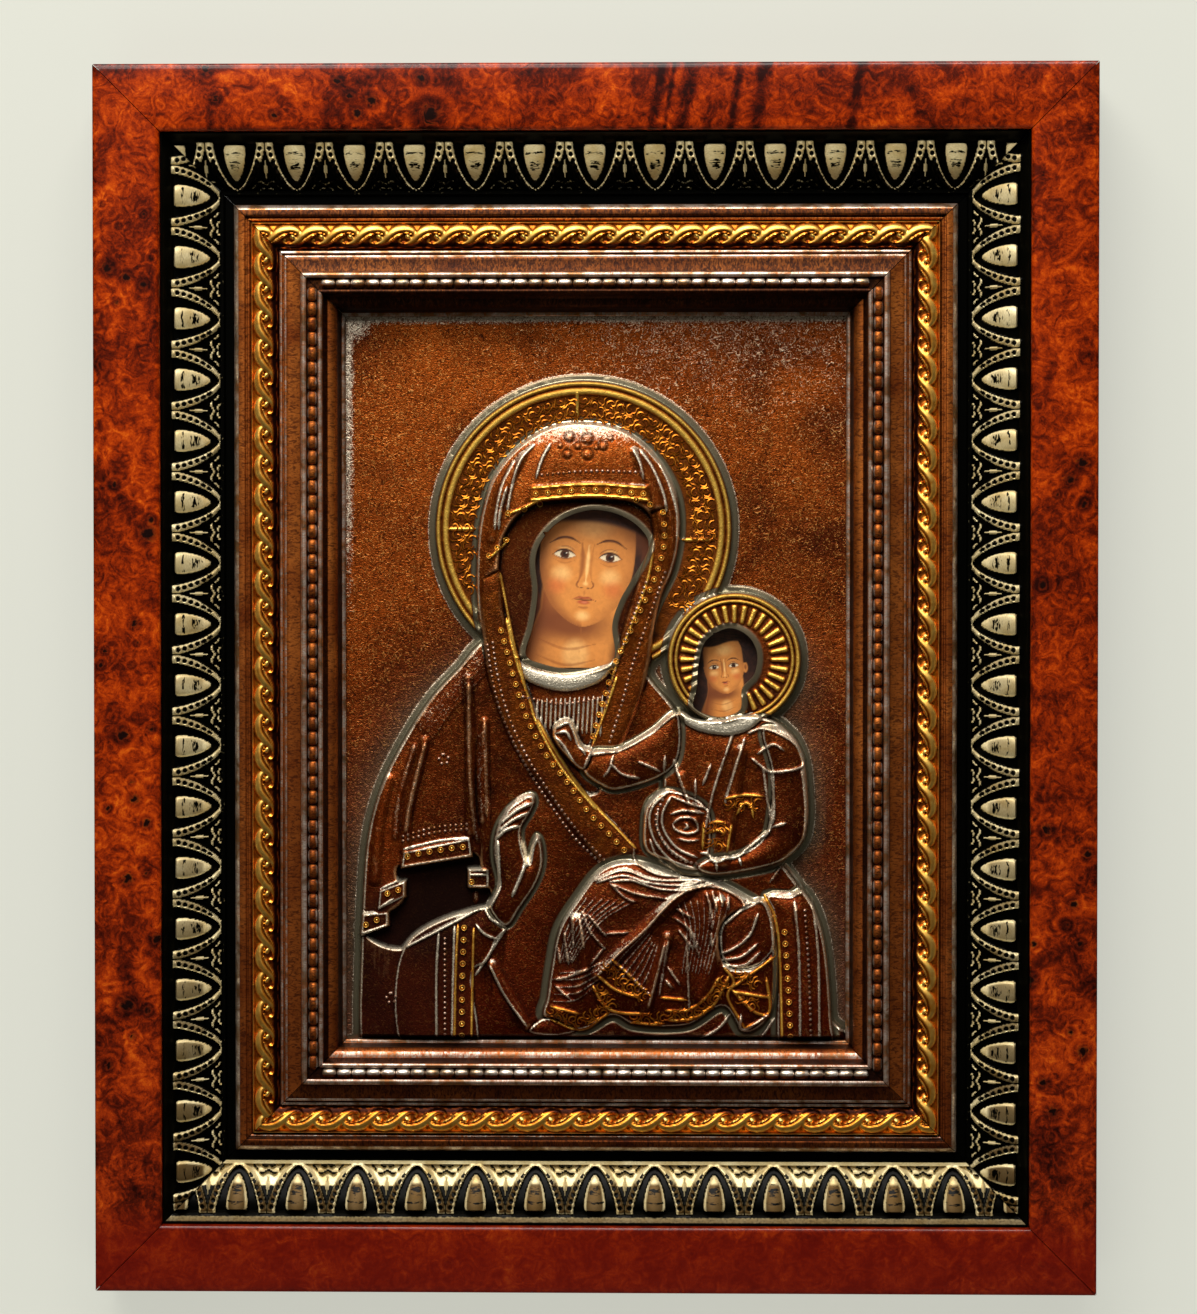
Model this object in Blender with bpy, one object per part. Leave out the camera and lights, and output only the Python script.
"""Icon panel: a painted mother and child under an embossed metal cover, in a stepped frame.

The frame has three rings of mitred rails: plain burl veneer outside, a black and silver
egg-and-dart moulding, and copper-coloured metal-clad rails with a rope and a row of beads.
The front faces -Y, the back lies at y = 0, and the origin is the middle of the back.
"""

import math

import bmesh
import bpy
import numpy as np
from mathutils import Vector
from mathutils.geometry import delaunay_2d_cdt

# All sizes are in millimetres. Points are turned into metres when a mesh is written.
METRES = 0.001
GAP = 0.3

# The frame, from its outer edge inwards. Heights are measured forward from the wall.
PANEL_WIDTH = 412.0
PANEL_HEIGHT = 505.0
BURL_WIDTH = 27.5
BURL_FRONT = 38.0
EGG_RAIL_WIDTH = 28.1
METAL_RAIL_WIDTH = 45.8
MITRE_GAP = 0.3
RAIL_OVERRUN = 2.0
END_ROOM = 1.0

# Egg-and-dart moulding: a black fillet, the curved egg band, a thin line and a black flat.
EGG_RAIL_TOP = 34.5
EGG_BAND_START = 4.6
EGG_BAND_WIDTH = 18.4
EGG_BAND_TOP = 30.8
EGG_BAND_DROP = 10.0
EGG_BAND_CURVE = 1.7
EGG_FLAT_HEIGHT = 19.8
EGG_COUNT_ACROSS = 13
EGG_COUNT_UP = 16
FIRST_EGG_ACROSS = 57.8
FIRST_EGG_UP = 63.5
EGG_SHIFT_UP = 2.5

# Metal-clad rail: rope and bead bands, measured from the rail's own outer edge.
ROPE_START = 8.2
ROPE_WIDTH = 10.8
ROPE_PITCH = 11.9
ROPE_FLOOR = 23.7
ROPE_CROWN = 28.4
ROPE_CUT = 1.9
ROPE_SLANT = 1.3
BEAD_START = 31.3
BEAD_WIDTH = 4.0
BEAD_PITCH = 5.9
BEAD_FLOOR = 28.6
BEAD_TOP = 30.8
BEAD_LENGTH_SHARE = 0.5
RABBET_WIDTH = 8.0
RABBET_HEIGHT = 13.9

# Board and cover.
BOARD_THICKNESS = 12.0
BOARD_EDGE_BEVEL = 0.8
COVER_LAP = 6.0
COVER_BACK = BOARD_THICKNESS + GAP
COVER_FIELD = 13.6
COVER_EDGE_FADE = 2.0
HALO_SAMPLE_OFFSETS = (0.6, -1.4, -3.4)
OUTLINE_OFFSET = 1.0
OUTLINE_STEP = 7.2
RIDGE_STEP = 11.0
FIELD_STEP = 20.0
EDGE_STEP = 8.0
TOLERANCE = 0.01
POINT_CLEARANCE = 1.9
OPENING_MARGIN = 3.0
FORM_STEP = 3.0
CURVE_STEPS = 12

# Where each ring of rails starts, and the clear window inside the frame.
EGG_RAIL_INSET = BURL_WIDTH + GAP
METAL_RAIL_INSET = EGG_RAIL_INSET + EGG_RAIL_WIDTH + GAP
WINDOW_INSET = METAL_RAIL_INSET + METAL_RAIL_WIDTH
WINDOW_HALF_WIDTH = PANEL_WIDTH / 2 - WINDOW_INSET
WINDOW_HALF_HEIGHT = PANEL_HEIGHT / 2 - WINDOW_INSET

# Cross-sections as (inward from the rail's outer edge, height above the wall).
BURL_FRONT_PROFILE = (
    (0.0, 36.0),
    (0.5, 37.1),
    (1.6, 37.6),
    (13.75, BURL_FRONT),
    (25.9, 37.6),
    (27.0, 37.1),
    (BURL_WIDTH, 36.0),
)
METAL_OUTER_PROFILE = (
    (0.0, 21.0),
    (1.8, 24.6),
    (4.8, 25.6),
    (5.3, 24.7),
    (6.1, 24.7),
    (6.5, 25.9),
    (7.6, 25.9),
)
METAL_MIDDLE_PROFILE = (
    (19.6, 25.9),
    (20.7, 26.0),
    (21.1, 25.4),
    (21.7, 26.7),
    (28.2, 29.3),
    (29.0, 30.8),
    (30.7, 30.9),
)
METAL_INNER_PROFILE = (
    (35.9, 30.2),
    (37.3, 30.2),
    (38.3, 26.8),
    (41.0, 25.4),
    (43.0, 22.2),
    (43.8, 17.2),
    (44.4, 16.0),
    (METAL_RAIL_WIDTH, 16.0),
)

# The figures, in the cover's plane: x to the right and z up from the window's centre.
HALO_CENTRE = (-5.0, 62.0)
HALO_RADIUS = 61.5
HALO_HEIGHT = 1.8
CHILD_HALO_CENTRE = (57.6, 8.0)
CHILD_HALO_RADIUS = 27.6
CHILD_HALO_HEIGHT = 6.6
HALO_RIM_WIDTH = 3.2
HALO_RIM_RISE = 1.1

MANTLE = (
    (20, 12), (22, 1), (33, -13), (42, -31), (79, -79), (86, -89), (92, -98), (96, -115),
    (98, -141), (98, -156), (-99, -156), (-98, -119), (-97, -91), (-95, -67), (-90, -47),
    (-81, -28), (-69, -9), (-57, 4), (-46, 16), (-24, 25),
)
VEIL = (
    (-5, 106), (11, 103), (24, 93), (33, 78), (35, 62), (32, 45), (24, 28), (20, 12), (13, 1),
    (-16, -4), (-38, 1), (-46, 16), (-49, 31), (-49, 53), (-47, 69), (-42, 84), (-32, 96), (-19, 104),
)
BONNET = (
    (-33, 10), (-38, 25), (-40, 43), (-37, 60), (-25, 72), (-2, 75), (17, 72), (25, 62),
    (23, 46), (16, 31), (11, 18), (9, 6), (-11, 2),
)
DRESS = (
    (-32, 8), (-29, -3), (-24, -16), (-15, -33), (-6, -46), (1, -47), (2, -39), (-2, -29),
    (3, -17), (7, 1), (7, 8),
)
BAND_LEFT_INNER = (
    (-40, 45), (-38, 25), (-33, 10), (-29, -3), (-24, -16), (-15, -33), (-3, -50), (7, -60), (17, -71),
)
BAND_LEFT_OUTER = (
    (-47, 41), (-47, 25), (-45, 5), (-43, -4), (-38, -18), (-32, -31), (-21, -46), (-11, -60), (2, -76),
)
BAND_RIGHT_INNER = ((22, 57), (17, 37), (12, 21), (7, 1), (3, -15), (-2, -29))
BAND_RIGHT_OUTER = ((30, 57), (30, 45), (25, 25), (21, 1), (16, -14), (10, -29))
FACE_OPENING = (
    (-2, 70), (10, 68), (19, 62), (22, 54), (15, 41), (10, 32), (7, 22), (8, 9), (1, 5),
    (-11, 4), (-22, 6), (-29, 10), (-26, 22), (-24, 36), (-25, 49), (-22, 58), (-14, 66),
)
CHILD_OPENING = (
    (55, 21), (63, 18), (67, 11), (66, 2), (61, -4), (60, -13), (51, -16), (41, -12), (42, -4),
    (43, 7), (46, 16),
)
UNDER_MANTLE = (
    (-81, -78), (-51, -73), (-49, -87), (-45, -87), (-47, -95), (-80, -112), (-98, -104), (-86, -98),
    (-79, -91),
)
HEM = ((-80, -72), (-52, -66), (-51, -74), (-81, -79))
HEM_SMALL = ((-53, -79), (-44, -79), (-44, -87), (-53, -87))
HEM_FOLD = ((-90, -88), (-79, -84), (-79, -91), (-91, -97))
SLEEVE = (
    (-80, -112), (-47, -95), (-37, -103), (-41, -109), (-45, -118), (-51, -124), (-50, -156), (-80, -156),
)
HAND = (
    (-27, -48), (-35, -53), (-40, -60), (-42, -67), (-42, -75), (-40, -86), (-44, -95), (-37, -103),
    (-31, -95), (-25, -86), (-22, -78), (-22, -70), (-24, -65), (-26, -69), (-28, -77), (-31, -64),
    (-27, -56), (-25, -51),
)
CHILD_TORSO = (
    (34, -14), (42, -17), (54, -20), (69, -16), (80, -22), (85, -35), (83, -59), (79, -75),
    (66, -80), (47, -82), (34, -80), (23, -65), (22, -52), (28, -46), (28, -31),
)
CHILD_RIGHT_ARM = (
    (34, -14), (23, -22), (10, -29), (-1, -30), (-5, -38), (2, -44), (10, -46), (28, -40), (35, -31),
)
CHILD_LEFT_ARM = (
    (69, -21), (80, -22), (86, -32), (88, -47), (88, -60), (85, -69), (76, -76), (60, -80),
    (48, -81), (42, -78), (48, -74), (60, -72), (69, -66), (72, -57), (73, -39),
)
CHILD_HAND = ((-5, -38), (-1, -30), (-6, -28), (-9, -20), (-12, -17), (-17, -20), (-17, -25), (-13, -31))
BUNDLE = ((22, -52), (31, -46), (47, -54), (47, -74), (42, -79), (29, -75), (21, -71), (20, -61))
LAP = (
    (16, -76), (3, -79), (-7, -91), (-15, -104), (-18, -118), (-20, -132), (-21, -141), (-6, -146),
    (7, -140), (17, -144), (38, -144), (53, -136), (62, -147), (73, -139), (76, -119), (73, -99),
    (60, -89), (46, -83), (33, -81),
)
FOOT = ((-28, -147), (-21, -141), (-11, -144), (-8, -147), (-18, -149))
FAR_SLEEVE = (
    (71, -90), (81, -90), (86, -88), (92, -98), (96, -115), (98, -141), (98, -156), (77, -156),
    (76, -118), (74, -98),
)
FAR_HAND = ((53, -101), (65, -93), (70, -92), (74, -102), (74, -112), (67, -119), (57, -120), (52, -114))

# Folds that stand up from the cloth: path, half width and rise.
FOLDS = (
    (((-71, -26), (-74, -39), (-78, -55), (-79, -71)), 2.4, 1.2),
    (((-53, 0), (-52, -21), (-52, -41), (-52, -64)), 2.4, 1.3),
    (((-46, -18), (-46, -41), (-46, -79)), 2.2, 1.2),
    (((-86, -42), (-90, -60), (-92, -84)), 2.6, 1.3),
    (((-43, -119), (-36, -131), (-28, -145)), 2.4, 1.8),
    (((1, -123), (25, -99), (39, -87)), 3.2, 1.8),
    (((30, -107), (25, -122), (21, -137)), 2.6, 1.5),
    (((52, -93), (50, -112), (44, -132)), 3.0, 1.5),
    (((-8, -100), (-4, -114), (-7, -130)), 3.0, 1.5),
    (((60, -30), (57, -52), (53, -76)), 3.0, 1.6),
    (((36, -40), (39, -50), (42, -58)), 2.2, 1.2),
    (((84, -96), (87, -118), (88, -148)), 2.4, 1.0),
    (((-30, 92), (-39, 76), (-43, 58)), 2.2, 1.0),
    (((16, 94), (25, 76), (28, 62)), 2.2, 1.0),
    (((-31, 68), (-22, 79), (-2, 81), (14, 79), (23, 66)), 3.0, 1.6),
)

BURL_COLOUR = (0.36, 0.075, 0.015)
LACQUER_COLOUR = (0.16, 0.15, 0.12)
COPPER_COLOUR = (0.42, 0.15, 0.05)
COVER_COLOUR = (0.30, 0.10, 0.03)
SKIN_COLOUR = (0.75, 0.30, 0.07)


def principled(name, colour, roughness, metallic):
    """A plain material with a colour, a roughness and a metallic value."""
    material = bpy.data.materials.new(name)
    material.use_nodes = True
    shader = material.node_tree.nodes["Principled BSDF"]
    shader.inputs["Base Color"].default_value = (*colour, 1.0)
    shader.inputs["Roughness"].default_value = roughness
    shader.inputs["Metallic"].default_value = metallic
    material.diffuse_color = (*colour, 1.0)
    return material


def add_object(name, bm, material):
    """Turn millimetre coordinates into metres and link the mesh as one object."""
    bmesh.ops.triangulate(bm, faces=bm.faces[:])
    bmesh.ops.recalc_face_normals(bm, faces=bm.faces[:])
    bmesh.ops.scale(bm, vec=(METRES, METRES, METRES), verts=bm.verts[:])
    mesh = bpy.data.meshes.new(name)
    bm.to_mesh(mesh)
    bm.free()
    mesh.materials.append(material)
    obj = bpy.data.objects.new(name, mesh)
    bpy.context.scene.collection.objects.link(obj)
    return obj


# Rails. A rail is a list of rows that go round its cross-section. Each row is a list of
# (along, inward, height) points from one end to the other.

def plain_row(reach, inward, height):
    """A straight row with no points between its ends."""
    return [(-reach, inward, height), (reach, inward, height)]


def patterned_row(reach, centres, points):
    """A row that repeats (along, inward, height) points about each pattern centre."""
    row = [(centre + along, inward, height) for centre in centres for along, inward, height in points]
    row = sorted(point for point in row if abs(point[0]) < reach - END_ROOM)
    first = (-reach, row[0][1], row[0][2])
    last = (reach, row[-1][1], row[-1][2])
    return [first, *row, last]


def is_straight(row):
    """Whether a row of vertices keeps to one line along the rail."""
    inward, height = row[0].co.yz
    return all(abs(v.co.y - inward) < 1e-6 and abs(v.co.z - height) < 1e-6 for v in row)


def zip_rows(bm, first, second):
    """Join two rows: one flat face between straight rows, triangles beside a pattern."""
    if is_straight(first) and is_straight(second):
        bm.faces.new(first + second[::-1])
        return
    i = 0
    j = 0
    while i < len(first) - 1 or j < len(second) - 1:
        first_left = i < len(first) - 1
        second_left = j < len(second) - 1
        if first_left and (not second_left or first[i + 1].co.x <= second[j + 1].co.x):
            bm.faces.new((first[i], first[i + 1], second[j]))
            i += 1
        else:
            bm.faces.new((first[i], second[j + 1], second[j]))
            j += 1


def build_rail(name, rows, half_length, edge_distance, turn, material):
    """Build one mitred rail and turn it into place round the panel's centre."""
    bm = bmesh.new()
    vertex_rows = [[bm.verts.new(point) for point in row] for row in rows]
    for first, second in zip(vertex_rows, vertex_rows[1:] + vertex_rows[:1]):
        zip_rows(bm, first, second)
    for end in (-1, 1):
        cut_at = Vector((end * (half_length - MITRE_GAP / 2 * math.sqrt(2)), 0, 0))
        geometry = bm.verts[:] + bm.edges[:] + bm.faces[:]
        bmesh.ops.bisect_plane(
            bm, geom=geometry, dist=1e-4, plane_co=cut_at, plane_no=(end, 1, 0), clear_outer=True,
        )
        cut_edges = [edge for edge in bm.edges if edge.is_boundary and end * edge.verts[0].co.x > 0]
        bmesh.ops.holes_fill(bm, edges=cut_edges, sides=0)
    cosine = math.cos(turn)
    sine = math.sin(turn)
    for vertex in bm.verts:
        along, inward, height = vertex.co
        outward = edge_distance - inward
        vertex.co = (cosine * along - sine * outward, -height, sine * along + cosine * outward)
    return add_object(name, bm, material)


def sides(inset):
    """Name, half length, distance and turn of the four rails of a ring."""
    half_width = PANEL_WIDTH / 2 - inset
    half_height = PANEL_HEIGHT / 2 - inset
    return (
        ("top", half_width, half_height, 0.0),
        ("left", half_height, half_width, math.pi / 2),
        ("bottom", half_width, half_height, math.pi),
        ("right", half_height, half_width, 3 * math.pi / 2),
    )


def burl_rows(reach):
    """Plain rail with rounded front corners."""
    rows = [plain_row(reach, inward, height) for inward, height in BURL_FRONT_PROFILE]
    rows.append(plain_row(reach, BURL_WIDTH, 0.0))
    rows.append(plain_row(reach, 0.0, 0.0))
    return rows


def egg_base(across_band):
    """Height of the curved ground under the eggs."""
    share = max(0.0, across_band) / EGG_BAND_WIDTH
    return EGG_BAND_TOP - EGG_BAND_DROP * share ** EGG_BAND_CURVE


def egg_centres(side):
    """Places of the eggs along a rail, with one more past each mitre."""
    if side in ("top", "bottom"):
        count = EGG_COUNT_ACROSS
        span = PANEL_WIDTH - 2 * FIRST_EGG_ACROSS
        shift = 0.0
    else:
        count = EGG_COUNT_UP
        span = PANEL_HEIGHT - 2 * FIRST_EGG_UP
        shift = -EGG_SHIFT_UP if side == "left" else EGG_SHIFT_UP
    pitch = span / (count - 1)
    return pitch, [shift - span / 2 + pitch * index for index in range(-2, count + 2)]


def egg_rows(reach, side):
    """Fillet, egg band with eggs, rims and dart pits, thin line and flat."""
    pitch, centres = egg_centres(side)
    half_pitch = pitch / 2

    def band_row(across_band, features):
        inward = EGG_BAND_START + across_band
        base = egg_base(across_band)
        points = []
        for along, lift in features:
            points.append((along, inward, base + lift))
            if 0 < along < half_pitch:
                points.append((-along, inward, base + lift))
        return patterned_row(reach, centres, points)

    line_start = EGG_BAND_START + EGG_BAND_WIDTH
    line_height = EGG_BAND_TOP - EGG_BAND_DROP
    return [
        plain_row(reach, 0.0, EGG_RAIL_TOP),
        plain_row(reach, 2.4, EGG_RAIL_TOP - 2.6),
        band_row(0.0, [(half_pitch, 0.0)]),
        band_row(1.4, [(0.0, 2.4), (5.0, -0.9), (7.8, 0.9), (half_pitch, -1.0)]),
        band_row(7.4, [(0.0, 3.0), (5.0, -1.3), (7.4, 0.9), (half_pitch, -1.8)]),
        band_row(13.8, [(0.0, 1.3), (2.8, -1.1), (5.2, 0.9), (half_pitch, 0.4)]),
        band_row(17.2, [(0.0, 0.9), (half_pitch, -0.2)]),
        plain_row(reach, line_start, line_height),
        plain_row(reach, line_start + 0.9, line_height),
        plain_row(reach, line_start + 1.2, EGG_FLAT_HEIGHT),
        plain_row(reach, EGG_RAIL_WIDTH, EGG_FLAT_HEIGHT),
        plain_row(reach, EGG_RAIL_WIDTH, 0.0),
        plain_row(reach, 0.0, 0.0),
    ]


def pattern_centres(reach, pitch):
    """Evenly spaced places that cover a rail and are centred on it."""
    count = 2 * math.ceil(reach / pitch) + 4
    return [pitch * (index - count / 2) for index in range(count + 1)]


def rope_rows(reach):
    """Slanted strands on a rounded roll, low at both sides."""
    centres = pattern_centres(reach, ROPE_PITCH)
    rows = [patterned_row(reach, centres, [(0.0, ROPE_START, ROPE_FLOOR)])]
    for share in (0.28, 0.72):
        inward = ROPE_START + share * ROPE_WIDTH
        crown = ROPE_FLOOR + (ROPE_CROWN - ROPE_FLOOR) * math.sqrt(math.sin(math.pi * share))
        slide = -ROPE_SLANT * ROPE_WIDTH * (share - 0.5)
        strand = (slide % ROPE_PITCH, inward, crown)
        groove = ((slide + ROPE_PITCH * 0.55) % ROPE_PITCH, inward, crown - ROPE_CUT)
        rows.append(patterned_row(reach, centres, [strand, groove]))
    rows.append(patterned_row(reach, centres, [(0.0, ROPE_START + ROPE_WIDTH, ROPE_FLOOR)]))
    return rows


def bead_rows(reach):
    """A row of beads with a nick between them."""
    centres = pattern_centres(reach, BEAD_PITCH)
    half = BEAD_PITCH / 2
    end = half * BEAD_LENGTH_SHARE
    middle = BEAD_START + BEAD_WIDTH / 2
    crown = [(-end, middle, BEAD_TOP), (end, middle, BEAD_TOP), (half, middle, BEAD_FLOOR + 0.4)]
    return [
        patterned_row(reach, centres, [(half, BEAD_START, BEAD_FLOOR)]),
        patterned_row(reach, centres, crown),
        patterned_row(reach, centres, [(half, BEAD_START + BEAD_WIDTH, BEAD_FLOOR)]),
    ]


def metal_rows(reach):
    """Bevel, flat, rope, copper slope, ridge, beads and the slope down to the cover."""
    rows = [plain_row(reach, inward, height) for inward, height in METAL_OUTER_PROFILE]
    rows += rope_rows(reach)
    rows += [plain_row(reach, inward, height) for inward, height in METAL_MIDDLE_PROFILE]
    rows += bead_rows(reach)
    rows += [plain_row(reach, inward, height) for inward, height in METAL_INNER_PROFILE]
    rabbet_side = METAL_RAIL_WIDTH - RABBET_WIDTH
    rows.append(plain_row(reach, METAL_RAIL_WIDTH, RABBET_HEIGHT))
    rows.append(plain_row(reach, rabbet_side, RABBET_HEIGHT))
    rows.append(plain_row(reach, rabbet_side, 0.0))
    rows.append(plain_row(reach, 0.0, 0.0))
    return rows


# Embossed cover. Its front is a height that depends on the place in the figures.

def smooth_path(points, closed, step):
    """Even points along a Catmull-Rom curve through the given points."""
    points = np.array(points, dtype=float)
    if closed:
        padded = np.vstack((points[-1:], points, points[:2]))
    else:
        padded = np.vstack((2 * points[:1] - points[1:2], points, 2 * points[-1:] - points[-2:-1]))
    share = np.linspace(0, 1, CURVE_STEPS, endpoint=False)[:, None]
    pieces = []
    for p0, p1, p2, p3 in zip(padded, padded[1:], padded[2:], padded[3:]):
        cubic = 3 * p1 - p0 - 3 * p2 + p3
        square = 2 * p0 - 5 * p1 + 4 * p2 - p3
        pieces.append(0.5 * (2 * p1 + (p2 - p0) * share + square * share ** 2 + cubic * share ** 3))
    curve = np.vstack(pieces + [points[:1] if closed else points[-1:]])
    lengths = np.concatenate(([0.0], np.cumsum(np.linalg.norm(np.diff(curve, axis=0), axis=1))))
    count = max(4, round(lengths[-1] / step))
    stations = np.linspace(0, lengths[-1], count + 1)
    even = np.column_stack([np.interp(stations, lengths, curve[:, axis]) for axis in (0, 1)])
    return even[:-1] if closed else even


def circle(centre, radius, count):
    """Even points round a circle."""
    angles = np.arange(count) * 2 * math.pi / count
    return np.column_stack((centre[0] + radius * np.cos(angles), centre[1] + radius * np.sin(angles)))


def distance_to_path(places, path, closed):
    """Distance from each place to a chain of straight pieces."""
    ends = np.roll(path, -1, axis=0) if closed else path[1:]
    starts = path if closed else path[:-1]
    best = np.full(len(places), np.inf)
    for start, end in zip(starts, ends):
        run = end - start
        along = np.clip(((places - start) @ run) / max(run @ run, 1e-9), 0, 1)
        best = np.minimum(best, np.linalg.norm(places - start - along[:, None] * run, axis=1))
    return best


def is_inside(places, outline):
    """Even-odd test of each place against a closed outline."""
    inside = np.zeros(len(places), dtype=bool)
    for start, end in zip(outline, np.roll(outline, -1, axis=0)):
        crosses = (start[1] > places[:, 1]) != (end[1] > places[:, 1])
        if start[1] != end[1]:
            at = start[0] + (places[:, 1] - start[1]) / (end[1] - start[1]) * (end[0] - start[0])
            inside ^= crosses & (places[:, 0] < at)
    return inside


def band(inner, outer):
    """Closed outline of a strip between two edges."""
    return (*inner, *reversed(outer))


# Forms from the back to the front: outline, height at the edge, height at the crown, and
# how far in from its edge a form goes on rising.
FORMS = (
    (MANTLE, 2.4, 5.0, 18.0),
    (VEIL, 3.6, 9.0, 20.0),
    (BONNET, 4.6, 4.2, 8.0),
    (DRESS, 3.2, 4.2, 10.0),
    (band(BAND_RIGHT_INNER, BAND_RIGHT_OUTER), 5.8, 6.4, 3.0),
    (band(BAND_LEFT_INNER, BAND_LEFT_OUTER), 6.0, 6.6, 3.0),
    (UNDER_MANTLE, 1.2, 1.0, 6.0),
    (HEM, 5.6, 6.0, 2.0),
    (HEM_SMALL, 5.4, 5.8, 2.0),
    (HEM_FOLD, 4.6, 5.2, 3.0),
    (SLEEVE, 4.6, 7.2, 12.0),
    (HAND, 5.6, 8.2, 5.0),
)
CHILD_FORMS = (
    (CHILD_TORSO, 6.4, 9.6, 14.0),
    (CHILD_RIGHT_ARM, 7.0, 10.0, 7.0),
    (CHILD_HAND, 7.0, 9.0, 4.0),
    (BUNDLE, 8.0, 9.6, 6.0),
    (LAP, 5.6, 10.2, 18.0),
    (FOOT, 3.6, 5.6, 4.0),
    (FAR_SLEEVE, 4.8, 7.4, 8.0),
    (FAR_HAND, 7.0, 9.0, 6.0),
    (CHILD_LEFT_ARM, 8.0, 11.0, 7.0),
)


def lay_form(height, places, form):
    """Put one rounded form over what lies behind it."""
    outline, edge, crown, reach = form
    path = smooth_path(outline, True, FORM_STEP)
    inside = is_inside(places, path)
    share = np.clip(distance_to_path(places[inside], path, True) / reach, 0, 1)
    height[inside] = edge + (crown - edge) * np.sqrt(1 - (1 - share) ** 2)


def lay_halo(height, places, centre, radius, disc_height):
    """A flat disc with a rounded rim."""
    out = np.linalg.norm(places - np.array(centre), axis=1)
    disc = out < radius
    rim = np.clip(1 - ((radius - HALO_RIM_WIDTH / 2 - out) / (HALO_RIM_WIDTH / 2)) ** 2, 0, 1)
    height[disc] = disc_height + HALO_RIM_RISE * rim[disc]


def window_room(places):
    """How far inside the frame's clear window each place lies."""
    half_window = (WINDOW_HALF_WIDTH - GAP, WINDOW_HALF_HEIGHT - GAP)
    return np.min(half_window - np.abs(places), axis=1)


def cover_height(places):
    """Height of the cover's front above its flat field."""
    height = np.zeros(len(places))
    lay_halo(height, places, HALO_CENTRE, HALO_RADIUS, HALO_HEIGHT)
    for form in FORMS:
        lay_form(height, places, form)
    lay_halo(height, places, CHILD_HALO_CENTRE, CHILD_HALO_RADIUS, CHILD_HALO_HEIGHT)
    for form in CHILD_FORMS:
        lay_form(height, places, form)
    for points, half_width, rise in FOLDS:
        path = smooth_path(points, False, FORM_STEP)
        share = distance_to_path(places, path, False) / half_width
        height += rise * np.clip(1 - share ** 2, 0, 1)
    return height * np.clip(window_room(places) / COVER_EDGE_FADE, 0, 1)


def turned_left(path):
    """A closed path in the anticlockwise direction."""
    after = np.roll(path, -1, axis=0)
    double_area = np.sum(path[:, 0] * after[:, 1] - after[:, 0] * path[:, 1])
    return path if double_area > 0 else path[::-1]


def offset_path(path, closed, distance):
    """A path moved to its right by a distance, which is outwards on an anticlockwise outline."""
    if closed:
        run = np.roll(path, -1, axis=0) - np.roll(path, 1, axis=0)
    else:
        run = np.gradient(path, axis=0)
    run /= np.maximum(np.linalg.norm(run, axis=1), TOLERANCE)[:, None]
    return path + distance * np.column_stack((run[:, 1], -run[:, 0]))


def rectangle_corners(half_width, half_height):
    """The four corners of a rectangle."""
    return np.array([(-1, -1), (1, -1), (1, 1), (-1, 1)]) * (half_width, half_height)


def rectangle_points(half_width, half_height, step):
    """Even points round a rectangle."""
    corners = rectangle_corners(half_width, half_height)
    points = []
    for start, end in zip(corners, np.roll(corners, -1, axis=0)):
        count = round(np.linalg.norm(end - start) / step)
        points.append(start + (end - start) * np.arange(count)[:, None] / count)
    return np.vstack(points)


def halo_circle(centre, radius, step):
    """A halo's edge as even points."""
    return circle(centre, radius, round(2 * math.pi * radius / step))


def outlines(step):
    """Outlines of all the forms from back to front, with the offsets that show their edges."""
    form_offsets = (-OUTLINE_OFFSET, OUTLINE_OFFSET)
    paths = [(halo_circle(HALO_CENTRE, HALO_RADIUS, step), HALO_SAMPLE_OFFSETS)]
    paths += [(smooth_path(form[0], True, step), form_offsets) for form in FORMS]
    paths.append((halo_circle(CHILD_HALO_CENTRE, CHILD_HALO_RADIUS, step), HALO_SAMPLE_OFFSETS))
    paths += [(smooth_path(form[0], True, step), form_offsets) for form in CHILD_FORMS]
    return [(turned_left(path), offsets) for path, offsets in paths]


def front_outline(places, paths):
    """Number of the front-most outline round each place."""
    front = np.full(len(places), -1)
    for number, (path, _) in enumerate(paths):
        front[is_inside(places, path)] = number
    return front


def ribbons(openings):
    """Strips of places beside every edge that shows, as (lines, shown, closed), front first."""
    inset = GAP + COVER_EDGE_FADE
    border = rectangle_points(WINDOW_HALF_WIDTH - inset, WINDOW_HALF_HEIGHT - inset, EDGE_STEP)
    strips = [([border], np.full(len(border), True), True)]
    for opening in openings:
        line = offset_path(turned_left(opening), True, OPENING_MARGIN)
        strips.append(([line], np.full(len(line), True), True))
    fine = outlines(FORM_STEP)
    coarse = outlines(OUTLINE_STEP)
    for number in reversed(range(len(coarse))):
        path, offsets = coarse[number]
        shown = front_outline(offset_path(path, True, -OUTLINE_OFFSET), fine) == number
        strips.append(([offset_path(path, True, offset) for offset in offsets], shown, True))
    for points, half_width, _ in FOLDS:
        path = smooth_path(points, False, RIDGE_STEP)
        lines = [offset_path(path, False, offset) for offset in (-half_width, 0, half_width)]
        strips.append((lines, np.full(len(path), True), False))
    return strips


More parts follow.
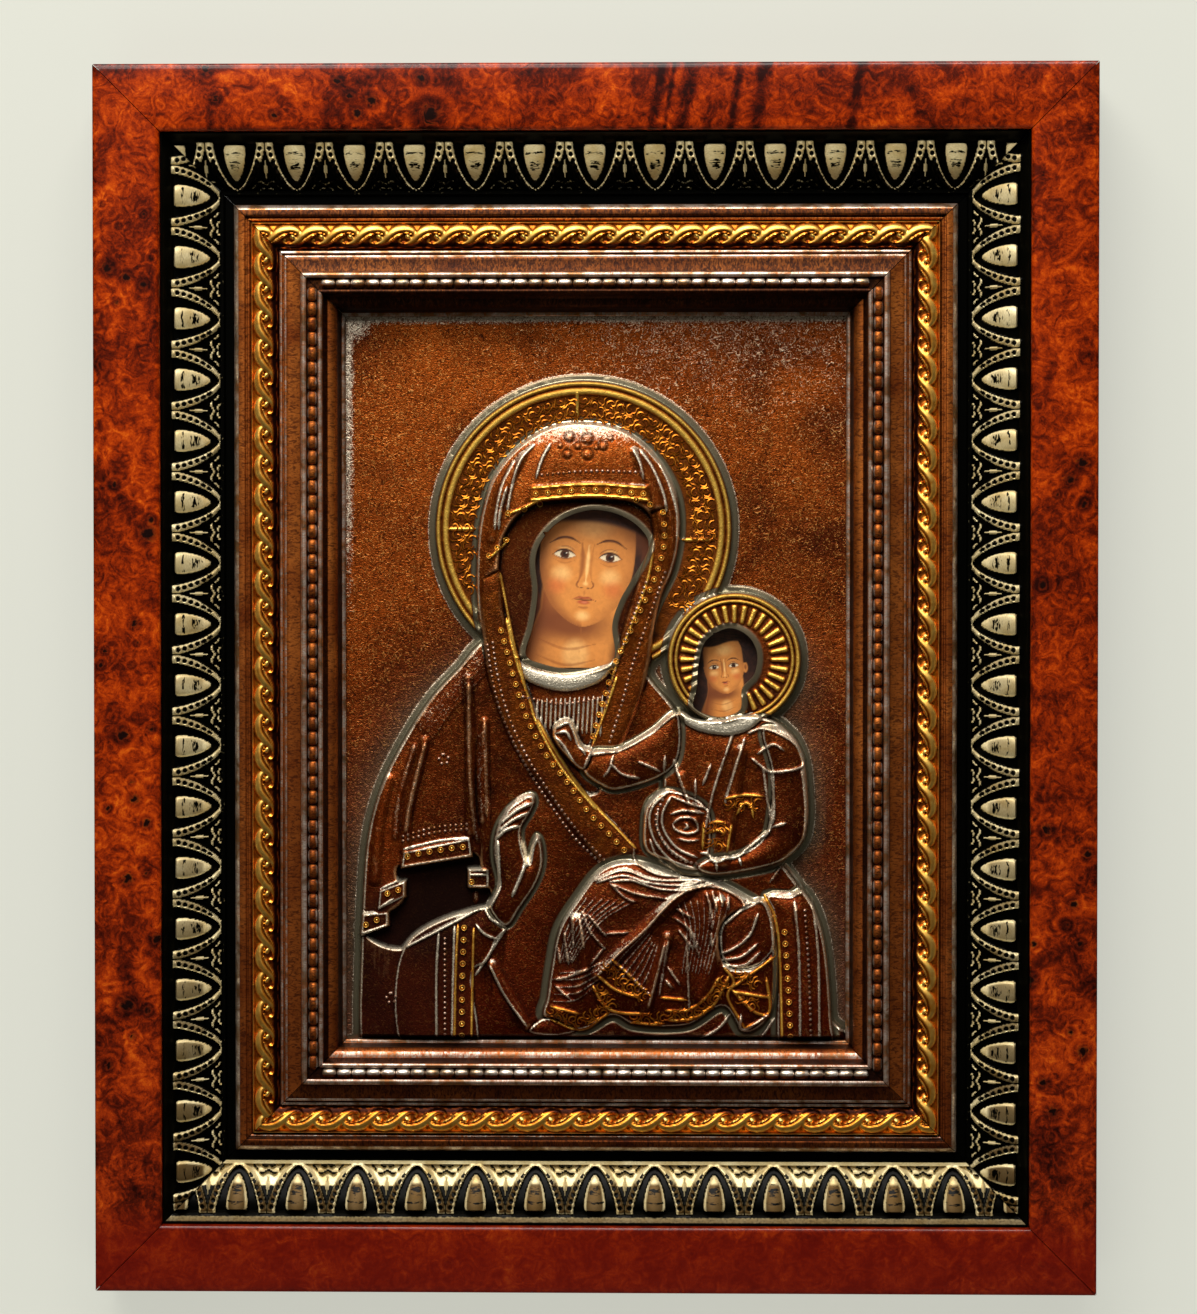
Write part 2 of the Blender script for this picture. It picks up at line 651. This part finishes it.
def plot_places(openings):
    """Places that get a vertex, and the links that keep each edge and ridge a clean line."""
    places = np.empty((0, 2))
    links = []

    def are_clear(points):
        if np.min(window_room(points)) < COVER_EDGE_FADE - TOLERANCE:
            return False
        for opening in openings:
            if np.any(is_inside(points, opening)):
                return False
            if np.min(distance_to_path(points, opening, True)) < POINT_CLEARANCE:
                return False
        if len(places) == 0:
            return True
        return np.min(np.linalg.norm(places[:, None] - points[None], axis=2)) > POINT_CLEARANCE

    for lines, shown, closed in ribbons(openings):
        stations = np.stack(lines, axis=1)
        before = None
        first = None
        for index, (points, is_shown) in enumerate(zip(stations, shown)):
            if not is_shown or not are_clear(points):
                before = None
                continue
            start = len(places)
            places = np.vstack((places, points))
            if before is not None:
                links += [(before + line, start + line) for line in range(len(points))]
            if index == 0:
                first = start
            before = start
        if closed and before is not None and first is not None:
            links += [(before + line, first + line) for line in range(len(lines))]
    for x in np.arange(-WINDOW_HALF_WIDTH + FIELD_STEP, WINDOW_HALF_WIDTH, FIELD_STEP):
        for z in np.arange(-WINDOW_HALF_HEIGHT + FIELD_STEP, WINDOW_HALF_HEIGHT, FIELD_STEP):
            point = np.array([(x, z)])
            if are_clear(point):
                places = np.vstack((places, point))
    return places, links


def build_cover(material):
    """The embossed cover: a relief front, a flat back and two openings for the heads."""
    openings = [smooth_path(outline, True, OUTLINE_STEP) for outline in (FACE_OPENING, CHILD_OPENING)]
    outer_edge = rectangle_corners(WINDOW_HALF_WIDTH + COVER_LAP, WINDOW_HALF_HEIGHT + COVER_LAP)
    window_edge = rectangle_corners(WINDOW_HALF_WIDTH - GAP, WINDOW_HALF_HEIGHT - GAP)
    loops = [outer_edge, window_edge, *openings]
    places, links = plot_places(openings)
    edges = []
    start = 0
    for loop in loops:
        count = len(loop)
        edges += [(start + index, start + (index + 1) % count) for index in range(count)]
        start += count
    edges += [(start + first, start + second) for first, second in links]
    points = np.vstack((*loops, places))
    coordinates = [Vector(point) for point in points]
    flat, _, triangles, _, _, _ = delaunay_2d_cdt(coordinates, edges, [], 0, 1e-5)
    flat = np.array([tuple(point) for point in flat])
    heights = COVER_FIELD + cover_height(flat)
    bm = bmesh.new()
    vertices = [bm.verts.new((x, -height, z)) for (x, z), height in zip(flat, heights)]
    for triangle in triangles:
        middle = flat[list(triangle)].mean(axis=0)[None, :]
        if not any(is_inside(middle, opening)[0] for opening in openings):
            bm.faces.new([vertices[index] for index in triangle])
    loose = [vertex for vertex in bm.verts if not vertex.link_faces]
    bmesh.ops.delete(bm, geom=loose, context="VERTS")
    boundary = [edge for edge in bm.edges if edge.is_boundary]
    walls = bmesh.ops.extrude_edge_only(bm, edges=boundary)["geom"]
    back_vertices = [item for item in walls if isinstance(item, bmesh.types.BMVert)]
    back_edges = [item for item in walls if isinstance(item, bmesh.types.BMEdge) and item.is_boundary]
    for vertex in back_vertices:
        vertex.co.y = -COVER_BACK
    bmesh.ops.triangle_fill(bm, edges=back_edges, use_beauty=True, use_dissolve=False, normal=(0, 1, 0))
    return add_object("embossed_cover", bm, material)


def build_board(material):
    """The painted wooden board behind the cover, flush with the back of the frame."""
    half_width = WINDOW_HALF_WIDTH + RABBET_WIDTH - GAP
    half_height = WINDOW_HALF_HEIGHT + RABBET_WIDTH - GAP
    bm = bmesh.new()
    bmesh.ops.create_cube(bm, size=1.0)
    bmesh.ops.scale(bm, vec=(2 * half_width, BOARD_THICKNESS, 2 * half_height), verts=bm.verts[:])
    bmesh.ops.translate(bm, vec=(0, -BOARD_THICKNESS / 2, 0), verts=bm.verts[:])
    back_edges = [edge for edge in bm.edges if all(vertex.co.y > -GAP for vertex in edge.verts)]
    bmesh.ops.bevel(bm, geom=back_edges, offset=BOARD_EDGE_BEVEL, segments=1, affect="EDGES")
    return add_object("painted_board", bm, material)


def build_frame():
    """Three rings of four mitred rails."""
    burl = principled("burl_veneer", BURL_COLOUR, 0.25, 0.0)
    lacquer = principled("black_silver_lacquer", LACQUER_COLOUR, 0.4, 0.3)
    copper = principled("copper_sheet", COPPER_COLOUR, 0.35, 0.9)
    for side, half_length, distance, turn in sides(0.0):
        rows = burl_rows(half_length + RAIL_OVERRUN)
        build_rail(f"burl_rail_{side}", rows, half_length, distance, turn, burl)
    for side, half_length, distance, turn in sides(EGG_RAIL_INSET):
        rows = egg_rows(half_length + RAIL_OVERRUN, side)
        build_rail(f"egg_moulding_{side}", rows, half_length, distance, turn, lacquer)
    for side, half_length, distance, turn in sides(METAL_RAIL_INSET):
        rows = metal_rows(half_length + RAIL_OVERRUN)
        build_rail(f"metal_rail_{side}", rows, half_length, distance, turn, copper)


def main():
    """Clear the scene and build the panel."""
    for obj in list(bpy.data.objects):
        bpy.data.objects.remove(obj, do_unlink=True)
    build_frame()
    build_cover(principled("embossed_brass", COVER_COLOUR, 0.35, 0.9))
    build_board(principled("painted_wood", SKIN_COLOUR, 0.5, 0.0))


main()
